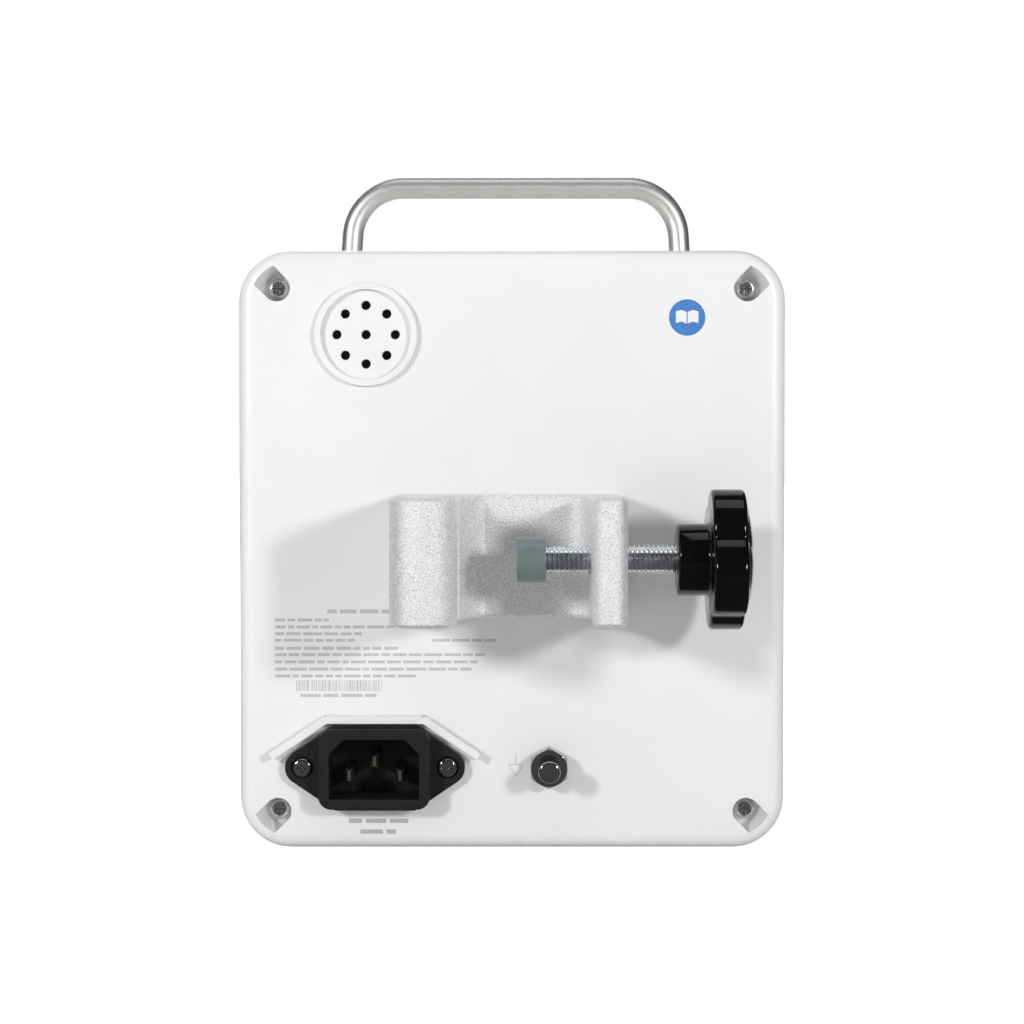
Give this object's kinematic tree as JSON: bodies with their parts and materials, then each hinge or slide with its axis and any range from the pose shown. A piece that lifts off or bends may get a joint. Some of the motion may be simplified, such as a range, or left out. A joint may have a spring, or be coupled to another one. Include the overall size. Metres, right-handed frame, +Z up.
{
  "type": "infusion pump",
  "caption": "White boxed infusion pump with a carrying handle, rear pole clamp with star knob, power inlet, earth stud, hinged tube door, display and keys.",
  "frame": {"origin": "middle of the bounding box's footprint, on the surface that the feet stand on", "axes": "+Z up, -Y towards the control panel and the door, +Y out of the rear face where the pole clamp is, +X to the right seen from the front"},
  "size_m": [0.151, 0.178, 0.1946],
  "materials": {
    "white_shell": "semi-gloss moulded white plastic",
    "door_white": "semi-gloss moulded white plastic",
    "brushed_handle": "satin stainless bar",
    "blasted_aluminium": "bead-blasted and anodised",
    "zinc_screws": "bright zinc plate",
    "bright_nickel": "bright nickel plate",
    "black_inlet": "fine-grained black plastic",
    "black_knob": "glossy black phenolic",
    "grey_pad": "smooth grey soft plastic",
    "dark_rubber": "matt rubber",
    "steel_inner": "plain steel",
    "frame_alloy": "machined",
    "brass_pins": "plated brass",
    "white_acetal": "natural acetal",
    "screen_glass": "tinted polycarbonate window",
    "lcd": "display cell",
    "lamp_lens": "amber diffusing lens",
    "grey_keys": "matt moulded key",
    "green_key": "matt moulded key",
    "red_key": "matt moulded key",
    "blue_key": "matt moulded key",
    "silicone": "translucent silicone",
    "circuit_green": "solder-masked board with its parts",
    "battery_wrap": "shrink wrap",
    "motor_black": "black motor case",
    "sensor_grey": "sensor housing"
  },
  "bodies": {
    "casing": {"rear_case": "white_shell", "front_case": "white_shell", "case_seal": "dark_rubber", "case_screws": "zinc_screws", "carry_handle": "brushed_handle", "handle_screws": "steel_inner", "rubber_feet": "dark_rubber", "speaker": "motor_black", "clamp_body": "blasted_aluminium", "clamp_backing_plate": "steel_inner", "clamp_bolts": "steel_inner", "power_inlet": "black_inlet", "inlet_pins": "brass_pins", "inlet_screws": "bright_nickel", "earth_stud": "bright_nickel", "earth_nut": "bright_nickel", "door_hinge_pins": "steel_inner", "display_window": "screen_glass", "lcd_module": "lcd", "status_lamp": "lamp_lens", "keypad_mat": "silicone", "display_board": "circuit_green", "main_board": "circuit_green", "power_board": "circuit_green", "battery_pack": "battery_wrap", "battery_bracket": "steel_inner", "pump_chassis": "frame_alloy", "cam_bearings": "steel_inner", "stepper_motor": "motor_black", "pressure_sensor": "sensor_grey", "bubble_sensor": "sensor_grey"},
    "door": {"door_cover": "door_white", "door_liner": "door_white", "platen_springs": "steel_inner"},
    "platen": {"platen": "white_acetal"},
    "latch": {"door_latch": "grey_keys"},
    "clamp_pad": {"clamp_pad": "grey_pad"},
    "clamp_screw": {"clamp_screw": "zinc_screws", "clamp_knob": "black_knob"},
    "camshaft": {"camshaft": "steel_inner", "cam_gear": "white_acetal"},
    "motor_pinion": {"motor_pinion": "brass_pins"},
    "tube_clamp": {"tube_clamp": "grey_keys"},
    "mute_key": {"mute_key": "grey_keys"},
    "purge_key": {"purge_key": "grey_keys"},
    "stop_key": {"stop_key": "red_key"},
    "start_key": {"start_key": "green_key"},
    "up_key": {"up_key": "grey_keys"},
    "down_key": {"down_key": "grey_keys"},
    "left_key": {"left_key": "grey_keys"},
    "right_key": {"right_key": "grey_keys"},
    "power_key": {"power_key": "blue_key"},
    "finger_1": {"finger_1": "white_acetal"},
    "finger_2": {"finger_2": "white_acetal"},
    "finger_3": {"finger_3": "white_acetal"},
    "finger_4": {"finger_4": "white_acetal"},
    "finger_5": {"finger_5": "white_acetal"},
    "finger_6": {"finger_6": "white_acetal"},
    "finger_7": {"finger_7": "white_acetal"},
    "finger_8": {"finger_8": "white_acetal"}
  },
  "joints": [
    {"name": "door_hinge", "type": "hinge", "parent": "casing", "child": "door", "pos_m": [-0.0705, -0.079, 0.085], "axis": [0, 0, 1], "range_deg": [-110, 0]},
    {"name": "platen_float", "type": "slide", "parent": "door", "child": "platen", "axis": [0, 1, 0], "range_m": [-0.0015, 0], "stiffness_N_per_m": 800, "springref_m": 0.002, "deforming": ["platen_springs"]},
    {"name": "latch_slide", "type": "slide", "parent": "door", "child": "latch", "axis": [0, 0, 1], "range_m": [0, 0.005]},
    {"name": "clamp_feed", "type": "slide", "parent": "casing", "child": "clamp_pad", "axis": [1, 0, 0], "range_m": [-0.0116, 0.0131]},
    {"name": "clamp_turn", "type": "hinge", "parent": "clamp_pad", "child": "clamp_screw", "pos_m": [-0.045, 0.069, 0.0836], "axis": [1, 0, 0], "range_deg": [-3348, 3780]},
    {"name": "camshaft_turn", "type": "hinge", "parent": "casing", "child": "camshaft", "pos_m": [-0.045, -0.045, 0.085], "axis": [0, 0, 1], "continuous": true},
    {"name": "motor_turn", "type": "hinge", "parent": "casing", "child": "motor_pinion", "pos_m": [-0.017, -0.045, 0.1215], "axis": [0, 0, 1], "continuous": true},
    {"name": "tube_clamp_slide", "type": "slide", "parent": "casing", "child": "tube_clamp", "axis": [0, -1, 0], "range_m": [0, 0.004]},
    {"name": "mute_key_press", "type": "slide", "parent": "casing", "child": "mute_key", "axis": [0, 1, 0], "range_m": [0, 0.0008], "stiffness_N_per_m": 600, "springref_m": -0.0008},
    {"name": "purge_key_press", "type": "slide", "parent": "casing", "child": "purge_key", "axis": [0, 1, 0], "range_m": [0, 0.0008], "stiffness_N_per_m": 600, "springref_m": -0.0008},
    {"name": "stop_key_press", "type": "slide", "parent": "casing", "child": "stop_key", "axis": [0, 1, 0], "range_m": [0, 0.0008], "stiffness_N_per_m": 600, "springref_m": -0.0008},
    {"name": "start_key_press", "type": "slide", "parent": "casing", "child": "start_key", "axis": [0, 1, 0], "range_m": [0, 0.0008], "stiffness_N_per_m": 600, "springref_m": -0.0008},
    {"name": "up_key_press", "type": "slide", "parent": "casing", "child": "up_key", "axis": [0, 1, 0], "range_m": [0, 0.0008], "stiffness_N_per_m": 600, "springref_m": -0.0008},
    {"name": "down_key_press", "type": "slide", "parent": "casing", "child": "down_key", "axis": [0, 1, 0], "range_m": [0, 0.0008], "stiffness_N_per_m": 600, "springref_m": -0.0008},
    {"name": "left_key_press", "type": "slide", "parent": "casing", "child": "left_key", "axis": [0, 1, 0], "range_m": [0, 0.0008], "stiffness_N_per_m": 600, "springref_m": -0.0008},
    {"name": "right_key_press", "type": "slide", "parent": "casing", "child": "right_key", "axis": [0, 1, 0], "range_m": [0, 0.0008], "stiffness_N_per_m": 600, "springref_m": -0.0008},
    {"name": "power_key_press", "type": "slide", "parent": "casing", "child": "power_key", "axis": [0, 1, 0], "range_m": [0, 0.0008], "stiffness_N_per_m": 600, "springref_m": -0.0008},
    {"name": "finger_1_slide", "type": "slide", "parent": "casing", "child": "finger_1", "axis": [0, -1, 0], "range_m": [-0.003, 0]},
    {"name": "finger_2_slide", "type": "slide", "parent": "casing", "child": "finger_2", "axis": [0, -1, 0], "range_m": [-0.00256, 0.00044]},
    {"name": "finger_3_slide", "type": "slide", "parent": "casing", "child": "finger_3", "axis": [0, -1, 0], "range_m": [-0.0015, 0.0015]},
    {"name": "finger_4_slide", "type": "slide", "parent": "casing", "child": "finger_4", "axis": [0, -1, 0], "range_m": [-0.00044, 0.00256]},
    {"name": "finger_5_slide", "type": "slide", "parent": "casing", "child": "finger_5", "axis": [0, -1, 0], "range_m": [0, 0.003]},
    {"name": "finger_6_slide", "type": "slide", "parent": "casing", "child": "finger_6", "axis": [0, -1, 0], "range_m": [-0.00044, 0.00256]},
    {"name": "finger_7_slide", "type": "slide", "parent": "casing", "child": "finger_7", "axis": [0, -1, 0], "range_m": [-0.0015, 0.0015]},
    {"name": "finger_8_slide", "type": "slide", "parent": "casing", "child": "finger_8", "axis": [0, -1, 0], "range_m": [-0.00256, 0.00044]}
  ],
  "couplings": [
    {"joint": "clamp_turn", "follows": "clamp_feed", "rad_per_m": 5026.5},
    {"joint": "motor_turn", "follows": "camshaft_turn", "ratio": -2.5}
  ]
}
